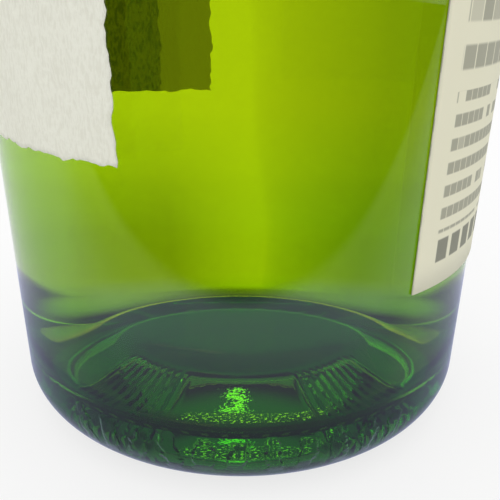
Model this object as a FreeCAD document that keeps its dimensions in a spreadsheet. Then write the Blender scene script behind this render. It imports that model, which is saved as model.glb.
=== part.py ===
"""A round 700 ml whisky bottle with its drink, two paper labels, screw cap and tamper band.

The bottle stands on z = 0 with its axis on Z. Its front, the middle of the wide paper label,
faces -Y, and the narrow label is opposite, towards +Y. Every size is a cell of the spreadsheet
"Sizes", in millimetres and degrees. Each piece is a body whose Label names its file.
"""

import FreeCAD, Part
import math
import os

import Sketcher
from FreeCAD import Placement, Rotation, Vector

SIZES = {
    # Glass, outside
    "body_base_radius": 38.5,
    "body_top_radius": 41.25,
    "body_height": 153.0,
    "heel_radius": 8.0,
    "shoulder_radius": 30.0,
    "neck_root_radius": 18.0,
    "neck_radius": 14.6,
    "bottle_height": 287.0,
    # Glass, underneath
    "bearing_width": 3.6,
    "push_up_height": 10.2,
    "plateau_radius": 13.0,
    "plateau_round": 4.0,
    "foot_round": 2.0,
    "knurl_count": 60,
    "knurl_width": 1.1,
    "knurl_depth": 0.35,
    # Glass, mouth
    "finish_radius": 13.4,
    "finish_height": 38.0,
    "bead_lip": 0.6,
    "bead_height": 4.2,
    "bead_round": 1.2,
    "bore_radius": 9.6,
    "rim_round": 0.8,
    # Glass, inside
    "wall": 3.4,
    "corner_radius": 7.3,
    "floor_thickness": 4.5,
    # Drink
    "headspace": 72.0,
    "fill_clearance": 0.15,
    # Paper labels
    "glue_gap": 0.10,
    "paper": 0.22,
    "front_label_bottom": 48.5,
    "front_label_margin": 15.5,
    "front_label_angle": 152.0,
    "back_label_bottom": 29.0,
    "back_label_margin": 29.0,
    "back_label_angle": 93.0,
    # Closure
    "cap_gap": 1.3,
    "cap_wall": 0.9,
    "cap_top": 1.4,
    "cap_round": 1.1,
    "band_height": 7.0,
    "band_slit": 0.5,
    "bridge_width": 1.2,
    "bridge_inset": 0.1,
    "bridge_count": 8,
    "flute_depth": 0.4,
    "flute_height": 9.0,
    "flute_count": 48,
}

# Values worked out from the sizes. Each is a cell too, so a change of size carries through.
DERIVED = {
    "taper": "atan((body_top_radius - body_base_radius) / (body_height - heel_radius))",
    "bearing_outer": "body_base_radius - heel_radius / cos(taper)",
    "bearing_inner": "bearing_outer - bearing_width",
    "flank_run": "bearing_inner - plateau_radius",
    "flank_rise": "push_up_height - plateau_round - foot_round",
    "flank_reach": "sqrt(flank_run * flank_run + flank_rise * flank_rise)",
    "flank_slope": "asin((plateau_round + foot_round) / flank_reach) + atan(flank_rise / flank_run)",
    "bead_top": "bottle_height - finish_height",
    "bead_bottom": "bead_top - bead_height",
    "cap_inner": "finish_radius + cap_gap",
    "cap_outer": "cap_inner + cap_wall",
    "bead_radius": "cap_outer + bead_lip",
    "band_top": "bead_top + band_height",
    "cap_bottom": "band_top + band_slit",
    "total_height": "bottle_height + cap_top",
    "flute_bottom": "total_height - cap_round - flute_height",
    "fill_height": "bottle_height - headspace",
    "front_label_top": "body_height - front_label_margin",
    "back_label_top": "body_height - back_label_margin",
}

doc = FreeCAD.newDocument("WhiskyBottle")
sheet = doc.addObject("Spreadsheet::Sheet", "Sizes")
for row, (alias, content) in enumerate({**SIZES, **DERIVED}.items(), start=1):
    sheet.set(f"A{row}", alias)
    sheet.set(f"B{row}", str(content) if alias in SIZES else f"={content}")
    sheet.setAlias(f"B{row}", alias)
doc.recompute()


def size(*aliases):
    """The sum of some cells, as a plain number."""
    return sum(float(getattr(getattr(sheet, alias), "Value", getattr(sheet, alias))) for alias in aliases)


def cells(*aliases):
    """The formula for the sum of some cells."""
    return " + ".join(f"Sizes.{alias}" for alias in aliases) or "0"


def point(across, up):
    return Vector(across, up, 0)


def reach(centre, radius, angle):
    """The point at this radius from the centre, at an angle in radians from the sketch's X."""
    return centre + point(radius * math.cos(angle), radius * math.sin(angle))


class Outline:
    """A closed sketch on one of its body's origin planes, drawn as lines and arcs.

    A corner is written (curve, end), where end is 1 for the curve's start and 2 for its end.
    Dimensions are measured from the origin, and each follows a formula of the sheet's cells.
    """

    def __init__(self, body, name, plane="XZ_Plane"):
        self.sketch = body.newObject("Sketcher::SketchObject", name)
        planes = {feature.Role: feature for feature in body.Origin.OriginFeatures}
        self.sketch.AttachmentSupport = [(planes[plane], "")]
        self.sketch.MapMode = "FlatFace"

    def line(self, start, end):
        return self.sketch.addGeometry(Part.LineSegment(start, end), False)

    def arc(self, centre, radius, start, end):
        """An arc drawn anticlockwise from one angle to the other, in radians."""
        circle = Part.Circle(centre, Vector(0, 0, 1), radius)
        return self.sketch.addGeometry(Part.ArcOfCircle(circle, start, end), False)

    def rule(self, kind, *where):
        return self.sketch.addConstraint(Sketcher.Constraint(kind, *where))

    def join(self, first, second):
        self.rule("Coincident", *first, *second)

    def smooth(self, first, second):
        """Joins two corners so that one curve runs on into the other without a kink."""
        self.rule("Tangent", *first, *second)

    def level(self, *lines):
        for line in lines:
            self.rule("Horizontal", line)

    def upright(self, *lines):
        for line in lines:
            self.rule("Vertical", line)

    def on_axis(self, *corners):
        for corner in corners:
            self.rule("PointOnObject", *corner, -2)

    def box(self, low, high, low_point, high_point):
        """Draws a rectangle between two opposite corners, each given as two formulas and a start."""
        corners = [low_point, point(high_point.x, low_point.y), high_point, point(low_point.x, high_point.y)]
        sides = [self.line(start, end) for start, end in zip(corners, corners[1:] + corners[:1])]
        for first, second in zip(sides, sides[1:] + sides[:1]):
            self.join((first, 2), (second, 1))
        self.level(sides[0], sides[2])
        self.upright(sides[1], sides[3])
        for corner, (across, up) in (((sides[0], 1), low), ((sides[1], 2), high)):
            if across == "0":
                self.on_axis(corner)
            else:
                self.across(corner, across)
            self.up(corner, up)

    def drive(self, constraint, formula):
        self.sketch.setExpression(f"Constraints[{constraint}]", formula)

    def across(self, corner, formula):
        """Sets a corner's distance from the axis."""
        here = self.sketch.getPoint(*corner).x
        self.drive(self.rule("DistanceX", -1, 1, *corner, here), formula)

    def up(self, corner, formula):
        """Sets a corner's height."""
        here = self.sketch.getPoint(*corner).y
        self.drive(self.rule("DistanceY", -1, 1, *corner, here), formula)

    def radius(self, arc, formula):
        self.drive(self.rule("Radius", arc, self.sketch.Geometry[arc].Radius), formula)

    def lean(self, line, formula):
        """Sets a line's angle from the sketch's X axis."""
        run = self.sketch.Geometry[line]
        run = run.EndPoint - run.StartPoint
        self.drive(self.rule("Angle", line, math.atan2(run.y, run.x)), formula)


def new_body(label):
    body = doc.addObject("PartDesign::Body", label)
    body.Label = label
    return body


def spin(body, outline, name, kind="PartDesign::Revolution", angle="360"):
    """Turns an outline about the vertical axis, evenly to both sides of its plane."""
    feature = body.newObject(kind, name)
    feature.Profile = outline.sketch
    feature.ReferenceAxis = (outline.sketch, ["V_Axis"])
    feature.Midplane = True
    feature.setExpression("Angle", angle)
    return feature


def repeat(body, feature, name, count):
    """Copies a feature evenly round the body's own vertical axis."""
    pattern = body.newObject("PartDesign::PolarPattern", name)
    pattern.Originals = [feature]
    pattern.Axis = ([item for item in body.Origin.OriginFeatures if item.Role == "Z_Axis"][0], [""])
    pattern.Angle = 360
    pattern.setExpression("Occurrences", cells(count))
    body.Tip = pattern


def draw_shoulder(outline, side, *inset):
    """Carries a body's side on through the shoulder to the foot of the neck.

    The convex shoulder arc and the concave neck-root arc touch, and the root arc ends upright.
    inset names the cells whose sum is how far this surface lies inside the outer one.
    """
    taper = math.radians(size("taper"))
    convex = size("shoulder_radius") - size(*inset)
    concave = size("neck_root_radius") + size(*inset)
    side_top = outline.sketch.getPoint(side, 2)
    first = reach(side_top, convex, math.pi - taper)
    across = size("neck_radius") - size(*inset) + concave - first.x
    rise = math.sqrt((convex + concave) ** 2 - across**2)
    second = first + point(across, rise)
    turn = math.atan2(rise, across)
    shoulder = outline.arc(first, convex, -taper, turn)
    root = outline.arc(second, concave, math.pi, math.pi + turn)
    outline.smooth((side, 2), (shoulder, 1))
    outline.smooth((shoulder, 2), (root, 2))
    outline.radius(shoulder, f"Sizes.shoulder_radius - ({cells(*inset)})")
    outline.radius(root, f"Sizes.neck_root_radius + ({cells(*inset)})")
    return root


def draw_side(outline, start, *inset):
    """Draws the tapered side of the body up from its start to the shoulder."""
    end = point(size("body_top_radius") - size(*inset), size("body_height"))
    side = outline.line(start, end)
    outline.lean(side, "90 deg - Sizes.taper")
    outline.across((side, 2), f"Sizes.body_top_radius - ({cells(*inset)})")
    outline.up((side, 2), "Sizes.body_height")
    return side


def draw_outside(body):
    """The glass as if solid: push-up, bearing ring, heel, side, shoulder, neck, bead and finish."""
    outline = Outline(body, "GlassOutside")
    taper, slope = math.radians(size("taper")), math.radians(size("flank_slope"))
    foot_in, foot_out = size("bearing_inner"), size("bearing_outer")
    push_up, heel_radius = size("push_up_height"), size("heel_radius")
    crown_round, foot_round = size("plateau_round"), size("foot_round")
    crown_centre, foot_centre = point(size("plateau_radius"), push_up - crown_round), point(foot_in, foot_round)
    neck, bead, finish = size("neck_radius"), size("bead_radius"), size("finish_radius")
    low, high, top = size("bead_bottom"), size("bead_top"), size("bottle_height")
    bead_round, rim_round = size("bead_round"), size("rim_round")

    plateau = outline.line(point(0, push_up), point(crown_centre.x, push_up))
    crown = outline.arc(crown_centre, crown_round, math.pi / 2 - slope, math.pi / 2)
    flank_foot = reach(foot_centre, foot_round, -math.pi / 2 - slope)
    flank = outline.line(reach(crown_centre, crown_round, math.pi / 2 - slope), flank_foot)
    foot = outline.arc(foot_centre, foot_round, -math.pi / 2 - slope, -math.pi / 2)
    bearing = outline.line(point(foot_in, 0), point(foot_out, 0))
    heel = outline.arc(point(foot_out, heel_radius), heel_radius, -math.pi / 2, -taper)
    side = draw_side(outline, reach(point(foot_out, heel_radius), heel_radius, -taper))
    root = draw_shoulder(outline, side)
    neck_foot = outline.sketch.getPoint(root, 1)
    neck_side = outline.line(neck_foot, point(neck, low))
    bead_floor = outline.line(point(neck, low), point(bead - bead_round, low))
    bead_arc = outline.arc(point(bead - bead_round, low + bead_round), bead_round, -math.pi / 2, 0)
    bead_side = outline.line(point(bead, low + bead_round), point(bead, high))
    bead_roof = outline.line(point(bead, high), point(finish, high))
    finish_side = outline.line(point(finish, high), point(finish, top - rim_round))
    rim_arc = outline.arc(point(finish - rim_round, top - rim_round), rim_round, 0, math.pi / 2)
    rim = outline.line(point(finish - rim_round, top), point(0, top))
    axis = outline.line(point(0, top), point(0, push_up))

    outline.smooth((plateau, 2), (crown, 2))
    outline.smooth((crown, 1), (flank, 1))
    outline.smooth((flank, 2), (foot, 1))
    outline.smooth((foot, 2), (bearing, 1))
    outline.smooth((bearing, 2), (heel, 1))
    outline.smooth((heel, 2), (side, 1))
    outline.smooth((root, 1), (neck_side, 1))
    outline.join((neck_side, 2), (bead_floor, 1))
    outline.smooth((bead_floor, 2), (bead_arc, 1))
    outline.smooth((bead_arc, 2), (bead_side, 1))
    outline.join((bead_side, 2), (bead_roof, 1))
    outline.join((bead_roof, 2), (finish_side, 1))
    outline.smooth((finish_side, 2), (rim_arc, 1))
    outline.smooth((rim_arc, 2), (rim, 1))
    outline.join((rim, 2), (axis, 1))
    outline.join((axis, 2), (plateau, 1))
    outline.level(plateau, bearing, bead_floor, bead_roof, rim)
    outline.upright(neck_side, bead_side, finish_side, axis)
    outline.on_axis((axis, 1))
    outline.rule("PointOnObject", bearing, 1, -1)

    outline.across((plateau, 2), "Sizes.plateau_radius")
    outline.radius(crown, "Sizes.plateau_round")
    outline.radius(foot, "Sizes.foot_round")
    outline.across((bearing, 1), "Sizes.bearing_inner")
    outline.radius(heel, "Sizes.heel_radius")
    outline.up((axis, 2), "Sizes.push_up_height")
    outline.across((neck_side, 2), "Sizes.neck_radius")
    outline.up((bead_floor, 1), "Sizes.bead_bottom")
    outline.radius(bead_arc, "Sizes.bead_round")
    outline.across((bead_side, 2), "Sizes.bead_radius")
    outline.up((bead_roof, 1), "Sizes.bead_top")
    outline.across((finish_side, 1), "Sizes.finish_radius")
    outline.radius(rim_arc, "Sizes.rim_round")
    outline.up((axis, 1), "Sizes.bottle_height")
    return outline


def draw_inside(body, name, *inset):
    """The inner surface from the middle of the floor up to the foot of the neck.

    The floor follows the push-up at its own thickness, and the corner arc runs from its flank
    into the side. Returns the outline, the level middle of the floor and the last arc.
    """
    outline = Outline(body, name)
    taper, slope = math.radians(size("taper")), math.radians(size("flank_slope"))
    lean, gap = math.tan(taper), size(*inset[1:])
    corner_radius = size("corner_radius") - gap
    crown_radius = size("plateau_round", "floor_thickness") + gap
    crown_centre = point(size("plateau_radius"), size("push_up_height") - size("plateau_round"))
    away = crown_centre.x * math.sin(slope) + crown_centre.y * math.cos(slope) + crown_radius + corner_radius
    side_foot = size("body_top_radius") - size(*inset) - size("body_height") * lean
    centre_foot = side_foot - corner_radius / math.cos(taper)
    centre_up = (away - centre_foot * math.sin(slope)) / (math.cos(slope) + lean * math.sin(slope))
    corner_centre = point(centre_foot + centre_up * lean, centre_up)

    floor = outline.line(point(0, crown_centre.y + crown_radius), reach(crown_centre, crown_radius, math.pi / 2))
    crown = outline.arc(crown_centre, crown_radius, math.pi / 2 - slope, math.pi / 2)
    flank_foot = reach(corner_centre, corner_radius, -math.pi / 2 - slope)
    flank = outline.line(reach(crown_centre, crown_radius, math.pi / 2 - slope), flank_foot)
    corner = outline.arc(corner_centre, corner_radius, -math.pi / 2 - slope, -taper)
    side = draw_side(outline, reach(corner_centre, corner_radius, -taper), *inset)
    root = draw_shoulder(outline, side, *inset)
    outline.smooth((floor, 2), (crown, 2))
    outline.smooth((crown, 1), (flank, 1))
    outline.smooth((flank, 2), (corner, 1))
    outline.smooth((corner, 2), (side, 1))
    outline.on_axis((floor, 1))
    outline.level(floor)
    outline.lean(flank, "-Sizes.flank_slope")
    outline.across((floor, 2), "Sizes.plateau_radius")
    outline.up((floor, 1), f"Sizes.push_up_height + Sizes.floor_thickness + ({cells(*inset[1:])})")
    outline.radius(crown, f"Sizes.plateau_round + Sizes.floor_thickness + ({cells(*inset[1:])})")
    outline.radius(corner, f"Sizes.corner_radius - ({cells(*inset[1:])})")
    return outline, floor, root


def cut_knurls(body):
    """Shallow grooves across the bearing ring, which leave radial bars for the bottle to stand on."""
    outline = Outline(body, "KnurlOutline", "XY_Plane")
    low, high = size("bearing_inner") - size("foot_round"), size("bearing_outer") + size("foot_round")
    half = size("knurl_width") / 2
    outline.box(("Sizes.bearing_inner - Sizes.foot_round", "-Sizes.knurl_width / 2"),
                ("Sizes.bearing_outer + Sizes.foot_round", "Sizes.knurl_width / 2"),
                point(low, -half), point(high, half))
    groove = body.newObject("PartDesign::Pocket", "Knurl")
    groove.Profile = outline.sketch
    groove.Reversed = True
    groove.setExpression("Length", "Sizes.knurl_depth")
    repeat(body, groove, "Knurls", "knurl_count")


def make_glass():
    """The bottle: its outer form turned as one solid, then the hollow turned out of it."""
    body = new_body("bottle_glass")
    spin(body, draw_outside(body), "GlassForm")

    outline, floor, root = draw_inside(body, "GlassHollow", "wall")
    bore, low, top = size("bore_radius"), size("bead_bottom"), size("bottle_height")
    rim_round = size("rim_round")
    funnel = outline.line(outline.sketch.getPoint(root, 1), point(bore, low))
    bore_side = outline.line(point(bore, low), point(bore, top - rim_round))
    lip = outline.arc(point(bore + rim_round, top - rim_round), rim_round, math.pi / 2, math.pi)
    mouth = outline.line(point(bore + rim_round, top), point(0, top))
    axis = outline.line(point(0, top), outline.sketch.getPoint(floor, 1))
    outline.join((root, 1), (funnel, 1))
    outline.join((funnel, 2), (bore_side, 1))
    outline.smooth((bore_side, 2), (lip, 2))
    outline.smooth((lip, 1), (mouth, 1))
    outline.join((mouth, 2), (axis, 1))
    outline.join((axis, 2), (floor, 1))
    outline.level(mouth)
    outline.upright(bore_side, axis)
    outline.across((root, 1), "Sizes.neck_radius - Sizes.wall")
    outline.rule("Horizontal", root, 3, root, 1)
    outline.across((funnel, 2), "Sizes.bore_radius")
    outline.up((funnel, 2), "Sizes.bead_bottom")
    outline.radius(lip, "Sizes.rim_round")
    outline.up((axis, 1), "Sizes.bottle_height")
    spin(body, outline, "GlassBore", "PartDesign::Groove")
    cut_knurls(body)
    return body


def make_drink():
    """The whisky, as a solid that fills the hollow up to its level in the neck."""
    body = new_body("whisky")
    inset = ("wall", "fill_clearance")
    outline, floor, root = draw_inside(body, "DrinkOutline", *inset)
    bore, low = size("bore_radius") - size("fill_clearance"), size("bead_bottom")
    funnel = outline.line(outline.sketch.getPoint(root, 1), point(bore, low))
    top = outline.line(point(bore, low), point(0, low))
    axis = outline.line(point(0, low), outline.sketch.getPoint(floor, 1))
    outline.join((root, 1), (funnel, 1))
    outline.join((funnel, 2), (top, 1))
    outline.join((top, 2), (axis, 1))
    outline.join((axis, 2), (floor, 1))
    outline.level(top)
    outline.upright(axis)
    outline.across((root, 1), f"Sizes.neck_radius - ({cells(*inset)})")
    outline.rule("Horizontal", root, 3, root, 1)
    outline.across((funnel, 2), "Sizes.bore_radius - Sizes.fill_clearance")
    outline.up((axis, 1), "Sizes.bead_bottom")
    spin(body, outline, "DrinkForm")

    above = Outline(body, "DrinkLevel")
    above.box(("0", "Sizes.fill_height"), ("Sizes.body_top_radius", "Sizes.bottle_height"),
              point(0, size("fill_height")), point(size("body_top_radius"), size("bottle_height")))
    spin(body, above, "DrinkSurface", "PartDesign::Groove")
    return body


def make_label(label, bottom, top_edge, angle, turn):
    """A paper label wrapped on the tapered side, with its middle turned to face turn degrees from +Y."""
    body = new_body(label)
    outline = Outline(body, label + "_strip", "YZ_Plane")
    slope = math.tan(math.radians(size("taper")))
    low, high = size(bottom), size(top_edge)

    def corner(inset, up):
        side = size("body_top_radius") - (size("body_height") - up) * slope
        return point(side + inset, up)

    glue, face = size("glue_gap"), size("glue_gap", "paper")
    back = outline.line(corner(glue, low), corner(glue, high))
    top = outline.line(corner(glue, high), corner(face, high))
    front = outline.line(corner(face, high), corner(face, low))
    foot = outline.line(corner(face, low), corner(glue, low))
    for first, second in ((back, top), (top, front), (front, foot), (foot, back)):
        outline.join((first, 2), (second, 1))
    outline.level(top, foot)
    outline.rule("Parallel", back, front)
    outline.lean(back, "90 deg - Sizes.taper")
    side = "Sizes.body_top_radius - (Sizes.body_height - Sizes.%s) * tan(Sizes.taper)" % bottom
    outline.across((back, 1), f"{side} + Sizes.glue_gap")
    outline.across((front, 2), f"{side} + Sizes.glue_gap + Sizes.paper")
    outline.up((back, 1), cells(bottom))
    outline.up((top, 1), cells(top_edge))
    spin(body, outline, label + "_wrap", angle=cells(angle))
    body.Placement = Placement(Vector(), Rotation(Vector(0, 0, 1), turn))
    return body


def make_cap():
    """The screw cap: a thin shell whose top seats on the glass rim, fluted round its upper edge."""
    body = new_body("screw_cap")
    inner, outer, low = size("cap_inner"), size("cap_outer"), size("cap_bottom")
    seat, top, cap_round = size("bottle_height"), size("total_height"), size("cap_round")
    outline = Outline(body, "CapOutline")
    ceiling = outline.line(point(0, seat), point(inner, seat))
    inside = outline.line(point(inner, seat), point(inner, low))
    edge = outline.line(point(inner, low), point(outer, low))
    skirt = outline.line(point(outer, low), point(outer, top - cap_round))
    shoulder = outline.arc(point(outer - cap_round, top - cap_round), cap_round, 0, math.pi / 2)
    crown = outline.line(point(outer - cap_round, top), point(0, top))
    axis = outline.line(point(0, top), point(0, seat))
    outline.join((ceiling, 2), (inside, 1))
    outline.join((inside, 2), (edge, 1))
    outline.join((edge, 2), (skirt, 1))
    outline.smooth((skirt, 2), (shoulder, 1))
    outline.smooth((shoulder, 2), (crown, 1))
    outline.join((crown, 2), (axis, 1))
    outline.join((axis, 2), (ceiling, 1))
    outline.level(ceiling, edge, crown)
    outline.upright(inside, skirt, axis)
    outline.on_axis((axis, 1))
    outline.up((axis, 2), "Sizes.bottle_height")
    outline.across((inside, 1), "Sizes.cap_inner")
    outline.up((edge, 1), "Sizes.cap_bottom")
    outline.across((skirt, 1), "Sizes.cap_outer")
    outline.radius(shoulder, "Sizes.cap_round")
    outline.up((axis, 1), "Sizes.total_height")
    spin(body, outline, "CapShell")

    flute = Outline(body, "FluteOutline", "XY_Plane")
    flute.sketch.setExpression("AttachmentOffset.Base.z", "Sizes.flute_bottom")
    depth = size("flute_depth")
    tip = point(outer - depth, 0)
    left, right = point(outer + depth, 2 * depth), point(outer + depth, -2 * depth)
    sides = [flute.line(tip, right), flute.line(right, left), flute.line(left, tip)]
    for first, second in zip(sides, sides[1:] + sides[:1]):
        flute.join((first, 2), (second, 1))
    flute.rule("PointOnObject", sides[0], 1, -1)
    flute.rule("Symmetric", sides[1], 1, sides[1], 2, -1)
    flute.across((sides[0], 1), "Sizes.cap_outer - Sizes.flute_depth")
    flute.across((sides[1], 1), "Sizes.cap_outer + Sizes.flute_depth")
    flute.up((sides[1], 2), "2 * Sizes.flute_depth")
    cut = body.newObject("PartDesign::Pocket", "Flute")
    cut.Profile = flute.sketch
    cut.Reversed = True
    cut.setExpression("Length", "Sizes.flute_height")
    repeat(body, cut, "Flutes", "flute_count")
    return body


def make_band():
    """The tamper band: a ring that stands on the glass bead, with bridges up to the cap."""
    body = new_body("tamper_band")
    outline = Outline(body, "BandOutline")
    outline.box(("Sizes.cap_inner", "Sizes.bead_top"), ("Sizes.cap_outer", "Sizes.band_top"),
                point(size("cap_inner"), size("bead_top")), point(size("cap_outer"), size("band_top")))
    spin(body, outline, "BandRing")

    bridge = Outline(body, "BridgeOutline")
    half = size("bridge_width") / 2
    bridge.box(("-Sizes.bridge_width / 2", "Sizes.band_top"), ("Sizes.bridge_width / 2", "Sizes.cap_bottom"),
               point(-half, size("band_top")), point(half, size("cap_bottom")))
    bridge.sketch.setExpression("AttachmentOffset.Base.z", "Sizes.cap_inner + Sizes.bridge_inset")
    tab = body.newObject("PartDesign::Pad", "Bridge")
    tab.Profile = bridge.sketch
    tab.setExpression("Length", "Sizes.cap_wall - 2 * Sizes.bridge_inset")
    repeat(body, tab, "Bridges", "bridge_count")
    return body


def check(bodies):
    """Stops the script if any object failed or any piece is not one valid solid."""
    for item in doc.Objects:
        if {"Invalid", "Error"} & set(item.State):
            raise RuntimeError(f"{item.Label} could not be built: {item.State}")
    for body in bodies:
        shape = body.Shape
        if shape.isNull() or not shape.isValid() or len(shape.Solids) != 1:
            raise RuntimeError(f"{body.Label} is not one valid solid")


def main():
    bodies = [
        make_glass(),
        make_drink(),
        make_label("front_label", "front_label_bottom", "front_label_top", "front_label_angle", 180),
        make_label("back_label", "back_label_bottom", "back_label_top", "back_label_angle", 0),
        make_cap(),
        make_band(),
    ]
    doc.recompute()
    check(bodies)
    os.makedirs("parts", exist_ok=True)
    for body in bodies:
        body.Shape.exportStep(f"parts/{body.Label}.step")
        print(f"{body.Label}: {body.Shape.Volume / 1000:.1f} ml")


main()
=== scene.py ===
"""The looks of a filled whisky bottle: green glass, whisky, two paper labels, cap and band.

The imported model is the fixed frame. Each class below holds the sizes of one piece in
millimetres, works its surface out with numpy, and dresses it with a procedural finish.
"""

from __future__ import annotations

import logging
import math
from dataclasses import dataclass, field
from typing import Any, Callable

import bpy
import numpy as np
from mathutils import Matrix, Vector

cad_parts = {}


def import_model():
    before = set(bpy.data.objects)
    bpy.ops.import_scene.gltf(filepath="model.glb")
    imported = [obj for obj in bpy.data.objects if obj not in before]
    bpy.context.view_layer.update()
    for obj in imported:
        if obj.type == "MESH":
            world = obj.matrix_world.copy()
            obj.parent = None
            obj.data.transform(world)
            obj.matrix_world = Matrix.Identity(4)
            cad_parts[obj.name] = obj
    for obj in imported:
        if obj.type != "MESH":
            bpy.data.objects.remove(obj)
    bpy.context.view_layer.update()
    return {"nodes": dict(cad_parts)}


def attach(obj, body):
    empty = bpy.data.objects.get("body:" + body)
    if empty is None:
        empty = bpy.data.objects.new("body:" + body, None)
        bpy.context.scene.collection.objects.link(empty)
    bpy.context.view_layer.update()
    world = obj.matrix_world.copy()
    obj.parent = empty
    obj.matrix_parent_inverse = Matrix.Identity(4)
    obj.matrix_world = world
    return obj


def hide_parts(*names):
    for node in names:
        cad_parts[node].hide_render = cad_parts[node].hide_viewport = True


LOG = logging.getLogger("whisky_bottle")
MM = 0.001
FULL_TURN = 2 * math.pi
CAMERA_AZIMUTH = 97.7
Array = np.ndarray
Piece = bpy.types.Object
Sockets = dict[str | int, Any]
Colour = tuple[float, float, float]
Pair = tuple[float, float]
Band = tuple[float, float, float]


# --- Meshes from arrays


def arc(centre: Pair, radius: float, start: float, end: float, count: int) -> Array:
    """Points along a circular arc: the centre plus the radius times the cosine and sine.

    Args:
        centre: The centre's distance from the axis and its height.
        radius: The arc's radius.
        start: The first angle in radians.
        end: The last angle in radians.
        count: How many points the arc has.

    Returns:
        An array of points, each a distance from the axis and a height.
    """
    angle = np.linspace(start, end, count)
    return np.stack([centre[0] + radius * np.cos(angle), centre[1] + radius * np.sin(angle)], axis=1)


def run(start: Pair, end: Pair, count: int) -> Array:
    """Evenly spaced points on the straight run between two points, both ends among them."""
    return np.linspace(start, end, count)


def chain(*parts: Array) -> Array:
    """Joins stretches of a profile, leaving out each point that repeats the one before it."""
    points = np.concatenate(parts)
    step = np.linalg.norm(np.diff(points, axis=0), axis=1)
    return points[np.concatenate([[True], step > 1e-6])]


def profile_normals(profile: Array) -> Array:
    """Unit normals on the right of a profile's direction of travel, from central differences."""
    along = np.gradient(profile, axis=0)
    normal = np.stack([along[:, 1], -along[:, 0]], axis=1)
    return normal / np.maximum(np.linalg.norm(normal, axis=1, keepdims=True), 1e-9)


def build_mesh(name: str, points: Array, faces: list[Array], uv: Array | None = None) -> Piece:
    """Puts points in millimetres and arrays of equal-sided faces into a new smooth mesh object.

    Args:
        name: The piece's name.
        points: The vertices, one row each.
        faces: Arrays of vertex numbers, one row a face. Arrays may differ in their sides.
        uv: One pair a vertex, or nothing where the piece needs no map.

    Returns:
        The new object, linked to the scene and at the origin.
    """
    mesh = bpy.data.meshes.new(name)
    corners = np.concatenate([part.ravel() for part in faces]).astype(np.int32)
    sides = np.concatenate([np.full(len(part), part.shape[1]) for part in faces])
    starts = np.concatenate([[0], np.cumsum(sides)[:-1]]).astype(np.int32)
    mesh.vertices.add(len(points))
    mesh.vertices.foreach_set("co", (points * MM).astype(np.float32).ravel())
    mesh.loops.add(len(corners))
    mesh.loops.foreach_set("vertex_index", corners)
    mesh.polygons.add(len(sides))
    mesh.polygons.foreach_set("loop_start", starts)
    mesh.polygons.foreach_set("use_smooth", np.ones(len(sides), dtype=bool))
    if uv is not None:
        layer = mesh.uv_layers.new(name="UVMap")
        layer.data.foreach_set("uv", uv[corners].astype(np.float32).ravel())
    mesh.update(calc_edges=True)
    mesh.validate()
    piece = bpy.data.objects.new(name, mesh)
    bpy.context.collection.objects.link(piece)
    return piece


def grid_faces(rows: int, columns: int, start: int = 0, wrap: bool = False) -> Array:
    """Quads of a grid whose points are numbered row by row.

    Args:
        rows: How many rows of points there are.
        columns: How many points a row has.
        start: The number of the grid's first point.
        wrap: Whether each row's last point joins its first.

    Returns:
        Four vertex numbers a quad. Seen with rows going up and columns going right, the
        faces look at the viewer.
    """
    row = np.arange(rows - 1)[:, None]
    column = np.arange(columns if wrap else columns - 1)[None, :]
    beside = (column + 1) % columns
    quad = [row * columns + column, row * columns + beside, (row + 1) * columns + beside,
            (row + 1) * columns + column]
    quads = np.stack([np.broadcast_to(part, (rows - 1, column.size)) for part in quad], -1)
    return start + quads.reshape(-1, 4)


def turned_mesh(name: str, profile: Array, segments: int,
                shift: Callable[[Array, Array], Array] | None = None) -> Piece:
    """Turns a profile about the vertical axis into a closed mesh whose faces point outwards.

    A point is the profile's radius times the azimuth's sine and minus cosine, at the
    profile's height, so azimuth 0 is the front. The profile's ends lie on the axis and become
    single points. A profile that goes up its outer side has its normals outwards.

    Args:
        name: The piece's name.
        profile: Distances from the axis and heights, from one end on the axis to the other.
        segments: How many columns the turn has.
        shift: How far each point moves along its normal, from its place in the profile and
            its azimuth, both given as arrays.

    Returns:
        The new object.
    """
    azimuth = np.arange(segments) * FULL_TURN / segments
    ring = profile[1:-1]
    radius = np.repeat(ring[:, :1], segments, axis=1)
    height = np.repeat(ring[:, 1:], segments, axis=1)
    if shift is not None:
        move = shift(ring, azimuth)
        normal = profile_normals(profile)[1:-1]
        radius = radius + move * normal[:, :1]
        height = height + move * normal[:, 1:]
    points = np.stack([radius * np.sin(azimuth), -radius * np.cos(azimuth), height], -1).reshape(-1, 3)
    first, last = len(points), len(points) + 1
    ends = np.array([[0, 0, profile[0, 1]], [0, 0, profile[-1, 1]]])
    column = np.arange(segments)
    beside = (column + 1) % segments
    top = (len(ring) - 1) * segments
    fans = [np.stack([beside, column, np.full(segments, first)], -1),
            np.stack([top + column, top + beside, np.full(segments, last)], -1)]
    faces = [grid_faces(len(ring), segments, wrap=True), np.concatenate(fans)]
    return build_mesh(name, np.concatenate([points, ends]), faces)


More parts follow.
